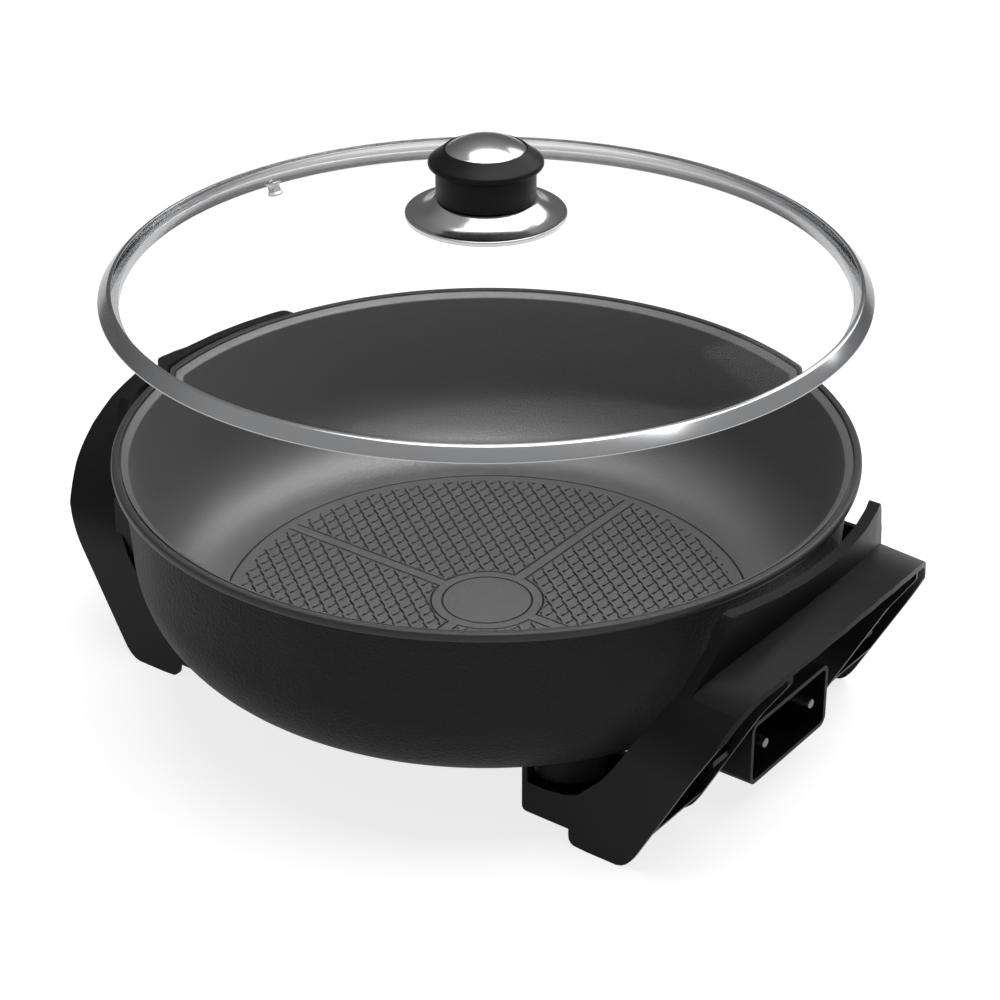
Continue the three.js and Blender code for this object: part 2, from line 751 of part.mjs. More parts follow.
const plateSeat = domeTopAt(plateRadius) + seatGap;
const plateTop = plateSeat + plateRise;
const collarBottom = plateTop + seatGap;
const gripBottom = collarBottom + collarHeight + seatGap;
const gripTop = gripBottom + gripHeight;

// Shares of the plate's radius and of its rise, from the brim in to the flat under the collar.
const plateFlareShares = [[0.9, 0.24], [0.8, 0.4], [0.71, 0.68], [0.65, 0.93], [0.6, 1]];

function makePlate() {
  const hole = knobScrewRadius + seatGap;
  const upper = plateFlareShares.map(([r, h]) => [r * plateRadius, plateSeat + h * plateRise]);
  const lower = upper.map(([r, h]) => [r - plateSheet / 2, h - plateSheet]).reverse();
  return ring([
    [plateRadius - plateSheet, plateSeat],
    [plateRadius, plateSeat],
    [plateRadius, plateSeat + plateRimHeight - plateSheet / 2],
    [plateRadius - plateSheet / 2, plateSeat + plateRimHeight],
    ...upper,
    [hole, plateTop],
    [hole, plateTop - plateSheet],
    ...lower,
    [plateRadius - plateSheet, plateSeat + plateRimHeight - plateSheet],
  ], knobSides);
}

function makeCollar() {
  const edge = bandSheet;
  return ring([
    [knobScrewRadius + seatGap, collarBottom],
    [collarRadius - edge, collarBottom],
    [collarRadius, collarBottom + edge],
    [collarRadius, collarBottom + collarHeight],
    [knobScrewRadius + seatGap, collarBottom + collarHeight],
  ], knobSides);
}

// Shares of the overhang past the cap's seat and of the grip's height.
const gripShares = [[0.8, 0.05], [0.95, 0.12], [1, 0.24], [0.96, 0.36], [0.6, 0.65], [0.1, 0.98]];

function makeGrip() {
  const seatRadius = capRadius + seatGap;
  const overhang = gripRadius - seatRadius;
  const outline = gripShares.map(([r, h]) => [seatRadius + r * overhang, gripBottom + h * gripHeight]);
  const seat = gripTop - capSeatDepth;
  const points = [
    [0, gripBottom + knobScrewDepth],
    [knobScrewRadius + seatGap, gripBottom + knobScrewDepth],
    [knobScrewRadius + seatGap, gripBottom],
    [seatRadius + gripUndercut - seatGap, gripBottom],
    ...outline,
    [seatRadius, gripTop],
    [seatRadius, seat],
    [0, seat],
  ];
  return revolve(points.map(([r, h]) => new THREE.Vector2(r, h)), knobSides);
}

function makeCap() {
  const bottom = gripTop - capSeatDepth + seatGap;
  const underRadius = capRadius - capSheet;
  const underRise = capRise - capSheet;
  const outer = sphereOver(capRadius, capRise);
  const under = sphereOver(underRadius, underRise);
  const path = new THREE.Path();
  path.moveTo(underRadius, bottom);
  path.lineTo(capRadius, bottom);
  path.absarc(0, bottom + capRise - outer, outer, Math.acos(capRadius / outer), Math.PI / 2, false);
  path.absarc(0, bottom + underRise - under, under, Math.PI / 2, Math.acos(underRadius / under), true);
  return revolve(path.getPoints(3), knobSides);
}

const sealTop = crownUnder - 2 * seatGap;
const knobWasherTop = sealTop - sealThickness - seatGap;
const knobHeadTop = knobWasherTop - knobWasherThickness - seatGap;

function makeKnobScrew() {
  return join(
    disc(knobHeadRadius, knobHeadTop - knobHeadHeight, knobHeadTop),
    disc(knobScrewRadius, knobHeadTop - knobHeadHeight / 2, gripBottom + knobScrewDepth - seatGap),
  );
}

const skillet = new THREE.Group();

skillet.add(
  piece('pan_body', makePan(), castCoating),
  piece('heating_element', makeElement(), elementSteel),
  piece('socket_shroud', makeShroud(), phenolic),
);
for (const [side, word] of [[-1, 'near'], [1, 'far']]) {
  skillet.add(
    piece(`terminal_pin_${word}`, makePin(side), brightSteel),
    piece(`terminal_bush_${word}`, makeBush(side), ceramic),
    piece(`shroud_screw_${word}`, makeShroudScrew(side), zincScrew),
  );
}

const handle = makeHandle();
skillet.add(
  piece('handle_socket_end', handle, phenolic),
  piece('handle_plain_end', handle.rotate([0, 0, 180]), phenolic),
);
bossPlaces.forEach((place, index) => {
  skillet.add(
    piece(`handle_screw_${index + 1}`, makeHandleScrew(place), zincScrew),
    piece(`handle_washer_${index + 1}`, makeHandleWasher(place), zincScrew),
  );
});

// The lid hangs above the pan as it does when it is lifted off.
const lid = new THREE.Group();
lid.position.z = lidSeat + lidLift;
lid.add(
  piece('lid_band', makeBand(), satinSteel),
  piece('lid_glass', makeGlass(), lidGlass),
  piece('steam_vent', makeVent(), brightSteel),
  piece('knob_plate', makePlate(), brightSteel),
  piece('knob_collar', makeCollar(), knobBlack),
  piece('knob_grip', makeGrip(), knobBlack),
  piece('knob_cap', makeCap(), brightSteel),
  piece('knob_screw', makeKnobScrew(), zincScrew),
  piece('knob_seal', washer(sealRadius, knobScrewRadius + seatGap, sealTop - sealThickness, sealTop), silicone),
  piece(
    'knob_washer',
    washer(knobWasherRadius, knobScrewRadius + seatGap, knobWasherTop - knobWasherThickness, knobWasherTop),
    zincScrew,
  ),
);
skillet.add(lid);

export default skillet;
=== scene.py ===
# The electric skillet, dressed for looks on its CAD frame: turned and finished pieces,
# coatings, steels and glass, a studio floor, soft light and the photograph's camera.
# Sizes are in millimetres and meet the frame's metres through MM. The lamps, the floor and the
# camera are placed in metres.

import math

import bmesh
import bpy
from mathutils import Matrix, Vector


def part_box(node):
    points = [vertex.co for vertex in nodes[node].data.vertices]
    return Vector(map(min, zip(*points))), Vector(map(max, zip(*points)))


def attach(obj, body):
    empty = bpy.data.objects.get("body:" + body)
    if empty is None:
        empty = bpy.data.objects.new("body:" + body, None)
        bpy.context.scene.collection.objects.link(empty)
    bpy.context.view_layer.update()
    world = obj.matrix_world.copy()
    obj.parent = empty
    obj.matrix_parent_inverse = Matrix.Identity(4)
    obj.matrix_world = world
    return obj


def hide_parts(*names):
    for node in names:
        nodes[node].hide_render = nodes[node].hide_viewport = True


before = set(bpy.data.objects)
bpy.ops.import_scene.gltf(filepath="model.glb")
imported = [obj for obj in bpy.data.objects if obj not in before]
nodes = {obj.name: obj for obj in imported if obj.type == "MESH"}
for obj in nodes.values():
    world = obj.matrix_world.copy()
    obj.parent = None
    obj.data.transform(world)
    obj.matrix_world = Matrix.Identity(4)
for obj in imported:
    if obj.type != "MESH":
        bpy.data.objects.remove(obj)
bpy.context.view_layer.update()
MM = 0.001  # one millimetre in the frame's metres


def low(node):
    """Lowest corner of a CAD node, in millimetres."""
    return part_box(node)[0] / MM


def high(node):
    """Highest corner of a CAD node, in millimetres."""
    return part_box(node)[1] / MM


# The pan's section.
SHEATH_DROP = 2.5  # the element's lowest side under the pan's base
FLOOR_THICKNESS = 6.0
RIM_WIDTH = 8.4  # from the mouth to the rim's outer edge
RIM_RADIUS = high("pan_body").y
BEAD_TOP = high("pan_body").z
BASE_HEIGHT = low("heating_element").z + SHEATH_DROP
FLOOR_HEIGHT = BASE_HEIGHT + FLOOR_THICKNESS
MOUTH_RADIUS = RIM_RADIUS - RIM_WIDTH
WALL_FOOT = MOUTH_RADIUS + 0.7  # the outer wall, where its lower corner starts
CORNER = (46.0, 50.0)  # half axes of that corner, across and up
COVE_RADIUS = MOUTH_RADIUS - 2.9  # the inner wall, where the cove starts
COVE = (35.0, 42.0)  # half axes of the cove
BEAD_WIDTH = 3.9
BEAD_DEPTH = 4.4  # from the bead's top to its underside
NECK_OUT = 3.6  # where the outer wall meets the bead, outside the mouth
NECK_DROP = 5.0
GROOVE_DEPTH = 1.9  # between the bead and the ledge
COATING_EDGE = 4.0  # outer edge of the inner coating, in the groove
LEDGE_INSET = 4.8  # crest of the ledge
LEDGE_DROP = 0.5
MOUTH_DROP = 2.8  # lower end of the ledge's slope
UNDERSIDE_REACH = 12.0  # above the base; higher up there is only the bowl's own wall

# The lid's section.
SKIRT_DEPTH = 4.5
LID_HEIGHT = low("lid_band").z + SKIRT_DEPTH
LID_RADIUS = high("lid_band").y
GLASS_RADIUS = high("lid_glass").y
GLASS_THICKNESS = 3.2
DOME_HEIGHT = high("lid_glass").z - LID_HEIGHT
DOME_EDGE = 4.6  # height of the dome's edge over the foot of the band's cone
DOME_RISE = DOME_HEIGHT - DOME_EDGE
DOME_RADIUS = (GLASS_RADIUS**2 + DOME_RISE**2) / (2 * DOME_RISE)
VENT_REACH = 130.0  # from the middle of the lid

# The rib in each moulding between one leg and the pan: its reach along and across the handles'
# axis from the middle of the pan, and its heights.
RIB_ALONG = (143.5, 158.0)
RIB_ACROSS = (93.5, 97.0)
RIB_HEIGHTS = (54.0, 90.0)

# The pressed pattern on the floor, by radius from the middle unless it says otherwise.
PATTERN_INNER = 28.0
PATTERN_OUTER = 126.0
PATTERN_RING = 131.0
MEDALLION = 22.4
SPOKE_HALF = 3.1  # half the width of the plain cross
CELL = (12.2, 8.9)  # pitch of the scales, across and along
CELL_CENTRE = (0.5, 0.46)  # a scale's middle, in parts of its cell
LATTICE_SHIFT = (2.5, -1.9)
MARK_WIDTHS = (0.34, 0.7)  # half widths of a scale's stroke, where it is full and where it ends
LINE_WIDTHS = (0.25, 0.6)  # the same for the plain lines
PRESSED_SLACK = 0.8  # what lies higher above the floor than this isn't pressed

# A scale's strokes: place, turn in degrees, half length, and how much finer the stroke is than
# the slanting one. They are the slanting stroke, a bold short upright, an upright under it and a
# fine slanting line between the two.
STROKES = (
    ((0.0, 0.0), -29.0, 2.2, 0.0),
    ((-0.15, 3.7), 84.0, 0.8, -0.05),
    ((0.15, -2.3), 92.0, 1.7, 0.26),
    ((2.9, -1.9), -40.0, 0.8, 0.3),
)

ROUND_STEPS = 256
SMALL_STEPS = 96
VENT_STEPS = 48
MERGE = 1e-6  # metres within which doubled vertices are one
FLAT = math.radians(0.6)  # faces that turn less than this from one to the next are one face


def srgb(code):
    """An sRGB hex colour as linear red, green, blue and alpha."""
    parts = [int(code[i:i + 2], 16) / 255 for i in (1, 3, 5)]
    return (*[c / 12.92 if c <= 0.04045 else ((c + 0.055) / 1.055) ** 2.4 for c in parts], 1.0)


def add(tree, kind, inputs=(), output=0, **settings):
    """Adds a node with its settings and its inputs, which are values or other nodes' outputs."""
    node = tree.nodes.new("ShaderNode" + kind)
    for name, value in settings.items():
        setattr(node, name, value)
    for key, value in dict(inputs).items():
        if isinstance(value, bpy.types.NodeSocket):
            tree.links.new(value, node.inputs[key])
        else:
            node.inputs[key].default_value = value
    return node.outputs[output]


def surface(name, **values):
    """A material with a Principled shader; returns the material, its tree and the shader."""
    material = bpy.data.materials.new(name)
    material.use_nodes = True
    tree = material.node_tree
    shader = tree.nodes["Principled BSDF"]
    for key, value in values.items():
        shader.inputs[key.replace("_", " ")].default_value = value
    return material, tree, shader


def object_point(tree):
    """The Object coordinate in millimetres."""
    point = add(tree, "TexCoord", output="Object")
    return add(tree, "VectorMath", {0: point, "Scale": 1 / MM}, operation="SCALE")


def moulded_phenolic():
    # Compression-moulded phenolic resin: near black, satin, with a faint cloud and the fine
    # grain of the mould's face, so that a reflection on it spreads a little unevenly. The real
    # grain is finer than 0.7 mm and is drawn that coarse so that it shows.
    material, tree, shader = surface(
        "moulded_phenolic", Base_Color=srgb("#141415"), IOR=1.5, Roughness=0.4,
    )
    shader.inputs["Specular IOR Level"].default_value = 0.16
    point = object_point(tree)
    cloud = add(tree, "TexNoise", {"Vector": point, "Scale": 1 / 14, "Detail": 3.0})
    rough = add(tree, "MapRange", {"Value": cloud, "To Min": 0.36, "To Max": 0.46})
    tree.links.new(rough, shader.inputs["Roughness"])
    grain = add(tree, "TexNoise", {"Vector": point, "Scale": 1 / 0.7, "Detail": 2.0})
    bump = add(tree, "Bump", {"Height": grain, "Strength": 0.1, "Distance": 0.04 * MM})
    tree.links.new(bump, shader.inputs["Normal"])
    return material


def enamelled_casting(name, code, level, height):
    # Sprayed heat-proof enamel on die-cast aluminium: charcoal, half matt, with the pebbled
    # skin that such enamel dries to. The real pebble is about a millimetre from bump to bump and
    # is drawn at 1.6 mm so that it shows. On the rolled bead it is smoother and glossier.
    material, tree, shader = surface(name, Base_Color=srgb(code), IOR=1.5, Roughness=0.38)
    shader.inputs["Specular IOR Level"].default_value = level
    point = object_point(tree)
    pebble = add(tree, "TexNoise", {
        "Vector": point, "Scale": 1 / 1.6, "Detail": 2.0, "Roughness": 0.5,
    })
    broad = add(tree, "TexNoise", {"Vector": point, "Scale": 1 / 40, "Detail": 2.0})
    rough = add(tree, "MapRange", {"Value": broad, "To Min": 0.36, "To Max": 0.46})
    tree.links.new(rough, shader.inputs["Roughness"])
    bump = add(tree, "Bump", {"Height": pebble, "Strength": 0.7, "Distance": height * MM})
    tree.links.new(bump, shader.inputs["Normal"])
    return material


def polished_steel():
    # Deep-drawn stainless steel, buffed: a mirror with a light haze that comes and goes.
    material, tree, shader = surface(
        "polished_steel", Base_Color=srgb("#cbcbcd"), Metallic=1.0, Roughness=0.18,
    )
    point = object_point(tree)
    haze = add(tree, "TexNoise", {"Vector": point, "Scale": 1 / 9, "Detail": 3.0})
    rough = add(tree, "MapRange", {"Value": haze, "To Min": 0.14, "To Max": 0.22})
    tree.links.new(rough, shader.inputs["Roughness"])
    return material


def rolled_band_steel():
    # Roll-formed stainless strip, satin polished along its length: fine rings that run round
    # the lid and stretch a reflection across them, drawn at 0.35 mm so that they show.
    material, tree, shader = surface(
        "rolled_band_steel", Base_Color=srgb("#c0c1c3"), Metallic=1.0, Roughness=0.17,
    )
    point = object_point(tree)
    split = tree.nodes.new("ShaderNodeSeparateXYZ")
    tree.links.new(point, split.inputs[0])
    flat = add(tree, "CombineXYZ", {0: split.outputs[0], 1: split.outputs[1]})
    radius = add(tree, "VectorMath", {0: flat}, output="Value", operation="LENGTH")
    across = add(tree, "CombineXYZ", {0: radius, 2: split.outputs[2]})
    lines = add(tree, "TexNoise", {"Vector": across, "Scale": 1 / 0.35, "Detail": 2.0})
    rough = add(tree, "MapRange", {"Value": lines, "To Min": 0.13, "To Max": 0.21})
    tree.links.new(rough, shader.inputs["Roughness"])
    bump = add(tree, "Bump", {"Height": lines, "Strength": 0.12, "Distance": 0.02 * MM})
    tree.links.new(bump, shader.inputs["Normal"])
    return material


def zinc_plate():
    # Zinc-plated steel: soft grey shine with the plating's faint mottle, drawn at 1.2 mm.
    material, tree, shader = surface(
        "zinc_plate", Base_Color=srgb("#a9abad"), Metallic=1.0, Roughness=0.32,
    )
    mottle = add(tree, "TexNoise", {"Vector": object_point(tree), "Scale": 1 / 1.2, "Detail": 3.0})
    rough = add(tree, "MapRange", {"Value": mottle, "To Min": 0.26, "To Max": 0.42})
    tree.links.new(rough, shader.inputs["Roughness"])
    return material


def nickel_plate():
    # Dull nickel on the two pins, rubbed in use.
    material, tree, shader = surface(
        "nickel_plate", Base_Color=srgb("#8c8b86"), Metallic=1.0, Roughness=0.4,
    )
    rubbed = add(tree, "TexNoise", {"Vector": object_point(tree), "Scale": 1 / 1.5, "Detail": 2.0})
    rough = add(tree, "MapRange", {"Value": rubbed, "To Min": 0.32, "To Max": 0.5})
    tree.links.new(rough, shader.inputs["Roughness"])
    return material


def sheath_steel():
    # Annealed steel sheath of the element: brownish grey, dull, a little scaled by heat.
    material, tree, shader = surface(
        "sheath_steel", Base_Color=srgb("#6f6a65"), Metallic=1.0, Roughness=0.45,
    )
    scale = add(tree, "TexNoise", {"Vector": object_point(tree), "Scale": 1 / 3, "Detail": 4.0})
    shade = add(tree, "ValToRGB", {0: scale})
    ramp = shade.node.color_ramp
    ramp.elements[0].position = 0.35
    ramp.elements[0].color = srgb("#5c5752")
    ramp.elements[1].position = 0.7
    ramp.elements[1].color = srgb("#7d7872")
    tree.links.new(shade, shader.inputs["Base Color"])
    return material


def steatite():
    # Fired steatite ceramic: warm white, matt, finely pitted, with pits drawn at 0.4 mm.
    material, tree, shader = surface(
        "steatite", Base_Color=srgb("#ddd8cb"), IOR=1.55, Roughness=0.6,
    )
    pits = add(tree, "TexNoise", {"Vector": object_point(tree), "Scale": 1 / 0.4, "Detail": 2.0})
    bump = add(tree, "Bump", {"Height": pits, "Strength": 0.2, "Distance": 0.03 * MM})
    tree.links.new(bump, shader.inputs["Normal"])
    return material


def silicone_rubber():
    # Black silicone: dull, with a soft edge to its highlights.
    material, tree, shader = surface(
        "silicone_rubber", Base_Color=srgb("#1c1c1c"), IOR=1.42, Roughness=0.7,
    )
    tooth = add(tree, "TexNoise", {"Vector": object_point(tree), "Scale": 1 / 0.5, "Detail": 2.0})
    bump = add(tree, "Bump", {"Height": tooth, "Strength": 0.15, "Distance": 0.03 * MM})
    tree.links.new(bump, shader.inputs["Normal"])
    return material


def tempered_glass():
    # Bent and tempered float glass, 3.2 mm: clear and polished. Lamp light passes it as through
    # a plain pane, a little weaker. Its IOR is far under glass's own 1.5, so that its reflections
    # are as weak as the photographed ones.
    material, tree, shader = surface(
        "tempered_glass", Base_Color=srgb("#f7f7f7"), IOR=1.08, Roughness=0.0,
    )
    shader.inputs["Transmission Weight"].default_value = 1.0
    seen = tree.nodes.new("ShaderNodeLightPath")
    light = add(
        tree, "Math", {0: seen.outputs["Is Shadow Ray"], 1: seen.outputs["Is Diffuse Ray"]},
        operation="MAXIMUM",
    )
    clear = add(tree, "BsdfTransparent", {"Color": srgb("#f7f7f7")})
    pane = add(tree, "MixShader", {0: light, 1: shader.outputs[0], 2: clear})
    tree.links.new(pane, tree.nodes["Material Output"].inputs["Surface"])
    return material


def nonstick_coating():
    # Sprayed fluoropolymer on die-cast aluminium: grey, half matt, with fine mica in it that
    # gives it a metal's sheen where it faces the light. The floor is pressed half a millimetre
    # deep with scales in four quarters, parted by a plain cross, round a plain medallion, and the
    # pressed marks and lines are painted near black: painted shade in their grooves. The
    # coating's own grain is drawn at 0.8 mm so that it shows.
    material, tree, shader = surface(
        "nonstick_coating", Base_Color=srgb("#767676"), Metallic=0.42, IOR=1.38, Roughness=0.37,
    )
    point = object_point(tree)
    split = tree.nodes.new("ShaderNodeSeparateXYZ")
    tree.links.new(point, split.inputs[0])
    east, north, up = split.outputs
    flat = add(tree, "CombineXYZ", {0: east, 1: north})
    radius = add(tree, "VectorMath", {0: flat}, output="Value", operation="LENGTH")

    # Distance to the nearest stroke of a scale. The scales lie on a lattice whose every second
    # row is moved half a cell along.
    laid = add(tree, "VectorMath", {0: flat, 1: (*LATTICE_SHIFT, 0.0)}, operation="SUBTRACT")
    nearest = None
    for row in (0.0, 0.5):
        cell = add(tree, "VectorMath", {0: laid, 1: (*CELL, 1.0)}, operation="DIVIDE")
        cell = add(tree, "VectorMath", {0: cell, 1: (row, row, 0.0)}, operation="ADD")
        cell = add(tree, "VectorMath", {0: cell}, operation="FRACTION")
        cell = add(tree, "VectorMath", {0: cell, 1: (*CELL_CENTRE, 0.0)}, operation="SUBTRACT")
        local = add(tree, "VectorMath", {0: cell, 1: (*CELL, 1.0)}, operation="MULTIPLY")
        for (across, along), turn, half, finer in STROKES:
            angle = math.radians(turn)
            way = (math.cos(angle), math.sin(angle), 0.0)
            side = (-math.sin(angle), math.cos(angle), 0.0)
            place = add(
                tree, "VectorMath", {0: local, 1: (across, along, 0.0)}, operation="SUBTRACT",
            )
            run = add(
                tree, "VectorMath", {0: place, 1: way}, output="Value", operation="DOT_PRODUCT",
            )
            run = add(tree, "Math", {0: run}, operation="ABSOLUTE")
            run = add(tree, "Math", {0: run, 1: half}, operation="SUBTRACT")
            run = add(tree, "Math", {0: run, 1: 0.0}, operation="MAXIMUM")
            off = add(
                tree, "VectorMath", {0: place, 1: side}, output="Value", operation="DOT_PRODUCT",
            )
            gap = add(tree, "CombineXYZ", {0: run, 1: off})
            gap = add(tree, "VectorMath", {0: gap}, output="Value", operation="LENGTH")
            gap = add(tree, "Math", {0: gap, 1: finer}, operation="ADD")
            if nearest is None:
                nearest = gap
            else:
                nearest = add(tree, "Math", {0: nearest, 1: gap}, operation="MINIMUM")

    # Marks keep clear of the cross, the medallion and the outer ring.
    east_off = add(tree, "Math", {0: east}, operation="ABSOLUTE")
    north_off = add(tree, "Math", {0: north}, operation="ABSOLUTE")
    cross = add(tree, "Math", {0: east_off, 1: north_off}, operation="MINIMUM")
    from_cross = add(tree, "Math", {0: cross, 1: SPOKE_HALF}, operation="SUBTRACT")
    from_centre = add(tree, "Math", {0: radius, 1: PATTERN_INNER}, operation="SUBTRACT")
    from_edge = add(tree, "Math", {0: PATTERN_OUTER, 1: radius}, operation="SUBTRACT")
    inside = add(tree, "Math", {0: from_cross, 1: from_centre}, operation="MINIMUM")
    border = add(tree, "Math", {0: inside, 1: from_edge}, operation="MINIMUM")
    allowed = add(tree, "MapRange", {"Value": border, "From Min": 0.6, "From Max": 1.2})
    mark = add(tree, "MapRange", {
        "Value": nearest, "From Min": MARK_WIDTHS[0], "From Max": MARK_WIDTHS[1],
        "To Min": 1.0, "To Max": 0.0,
    })
    mark = add(tree, "Math", {0: mark, 1: allowed}, operation="MULTIPLY")

    # Plain lines: the borders of the quarters, the medallion and the outer ring. Past the
    # pattern's outer edge the borders are put too far off to be drawn.
    too_far = 4.0
    edge = add(tree, "Math", {0: inside}, operation="ABSOLUTE")
    reach = add(tree, "Math", {0: from_edge, 1: -0.3}, operation="GREATER_THAN")
    outside = add(tree, "Math", {0: too_far, 1: reach}, operation="MULTIPLY")
    outside = add(tree, "Math", {0: too_far, 1: outside}, operation="SUBTRACT")
    lines = add(tree, "Math", {0: edge, 1: outside}, operation="ADD")
    for ring in (MEDALLION, PATTERN_RING):
        off = add(tree, "Math", {0: radius, 1: ring}, operation="SUBTRACT")
        off = add(tree, "Math", {0: off}, operation="ABSOLUTE")
        lines = add(tree, "Math", {0: lines, 1: off}, operation="MINIMUM")
    line = add(tree, "MapRange", {
        "Value": lines, "From Min": LINE_WIDTHS[0], "From Max": LINE_WIDTHS[1],
        "To Min": 1.0, "To Max": 0.0,
    })
    pressed_and_shaded = add(tree, "Math", {0: mark, 1: line}, operation="MAXIMUM")

    # Only the floor is pressed, and only there do the marks carry painted shade.
    on_floor = add(tree, "Math", {0: up, 1: FLOOR_HEIGHT + PRESSED_SLACK}, operation="LESS_THAN")
    pressed_and_shaded = add(tree, "Math", {0: pressed_and_shaded, 1: on_floor}, operation="MULTIPLY")
    # Painted shade: the pressed marks and lines are coloured near black for the shade in their
    # grooves.
    shade = add(
        tree, "Mix", {"Factor": pressed_and_shaded, "A": srgb("#767676"), "B": srgb("#191919")},
        output="Result", data_type="RGBA",
    )
    tree.links.new(shade, shader.inputs["Base Color"])
    grit = add(tree, "TexNoise", {"Vector": point, "Scale": 1 / 0.8, "Detail": 2.0})
    relief = add(tree, "Math", {0: grit, 1: 0.4}, operation="MULTIPLY")
    relief = add(tree, "Math", {0: relief, 1: pressed_and_shaded}, operation="SUBTRACT")
    bump = add(tree, "Bump", {"Height": relief, "Strength": 1.0, "Distance": 0.5 * MM})
    tree.links.new(bump, shader.inputs["Normal"])
    return material


phenolic = moulded_phenolic()
enamel = enamelled_casting("enamelled_casting", "#3d3d3e", level=0.04, height=1.0)
bead_enamel = enamelled_casting("enamelled_bead", "#3c3c3d", level=0.35, height=0.12)
nonstick = nonstick_coating()
mirror_steel = polished_steel()
band_steel = rolled_band_steel()
zinc = zinc_plate()
nickel = nickel_plate()
sheath = sheath_steel()
ceramic = steatite()
silicone = silicone_rubber()
glass = tempered_glass()


def rounded(corners, closed=True, steps=5):
    """An outline through corners of (radius, height, rounding), each cut to a small curve."""
    outline = []
    count = len(corners)
    for i, (x, z, turn) in enumerate(corners):
        here = Vector((x, z))
        at_end = not closed and i in (0, count - 1)
        if turn == 0 or at_end:
            outline.append(here)
            continue
        before = Vector(corners[i - 1][:2]) - here
        after = Vector(corners[(i + 1) % count][:2]) - here
        cut = min(turn, 0.49 * before.length, 0.49 * after.length)
        start = here + before.normalized() * cut
        end = here + after.normalized() * cut
        for k in range(steps + 1):
            t = k / steps
            outline.append(start * (1 - t) ** 2 + here * 2 * t * (1 - t) + end * t**2)
    return outline


def quarter(centre, radii, start, end, steps=24):
    """Points of an ellipse from one angle to another, in degrees."""
    turns = [math.radians(start + (end - start) * k / steps) for k in range(steps + 1)]
    return [
        Vector((centre[0] + radii[0] * math.cos(a), centre[1] + radii[1] * math.sin(a)))
        for a in turns
    ]


def turned(name, outline, base=0.0, steps=SMALL_STEPS, closed=True):
    """The mesh of an outline in millimetres turned about the pan's axis."""
    bm = bmesh.new()
    verts = [bm.verts.new((p[0] * MM, 0.0, (base + p[1]) * MM)) for p in outline]
    ends = verts[1:] + verts[:1] if closed else verts[1:]
    edges = [bm.edges.new(pair) for pair in zip(verts, ends)]
    bmesh.ops.spin(
        bm, geom=verts + edges, cent=(0, 0, 0), axis=(0, 0, 1), angle=2 * math.pi,
        steps=steps, use_merge=True,
    )
    bmesh.ops.remove_doubles(bm, verts=bm.verts, dist=2 * MERGE)
    bmesh.ops.recalc_face_normals(bm, faces=bm.faces)
    return made(name, bm)


def made(name, bm):
    """A new object at the origin from a bmesh."""
    mesh = bpy.data.meshes.new(name)
    bm.to_mesh(mesh)
    bm.free()
    obj = bpy.data.objects.new(name, mesh)
    bpy.context.scene.collection.objects.link(obj)
    return obj


def dress(obj, materials, body, stands_for=(), smooth=35.0):
    """Gives a piece its materials, shading and CAD body, and hides the CAD nodes that it replaces.
    """
    for material in materials:
        obj.data.materials.append(material)
    obj.data.shade_smooth()
    obj.data.set_sharp_from_angle(angle=math.radians(smooth))
    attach(obj, body)
    if stands_for:
        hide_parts(*stands_for)
    return obj


def cad_copy(name, node):
    """A merged copy of a CAD node's mesh, with its flat faces whole again."""
    bm = bmesh.new()
    bm.from_mesh(nodes[node].data)
    bmesh.ops.remove_doubles(bm, verts=bm.verts, dist=MERGE)
    bmesh.ops.dissolve_limit(
        bm, angle_limit=FLAT, verts=bm.verts, edges=bm.edges, delimit={"NORMAL"},
    )
    return made(name, bm)


def eased(obj, width, segments=3, angle=28.0):
    """Rounds a moulded piece's sharp edges with a Bevel modifier."""
    bevel = obj.modifiers.new("eased_edges", "BEVEL")
    bevel.width = width * MM
    bevel.segments = segments
    bevel.limit_method = "ANGLE"
    bevel.angle_limit = math.radians(angle)
    bevel.miter_outer = "MITER_ARC"
    weighted = obj.modifiers.new("flat_faces_stay_flat", "WEIGHTED_NORMAL")
    weighted.keep_sharp = True
    return obj


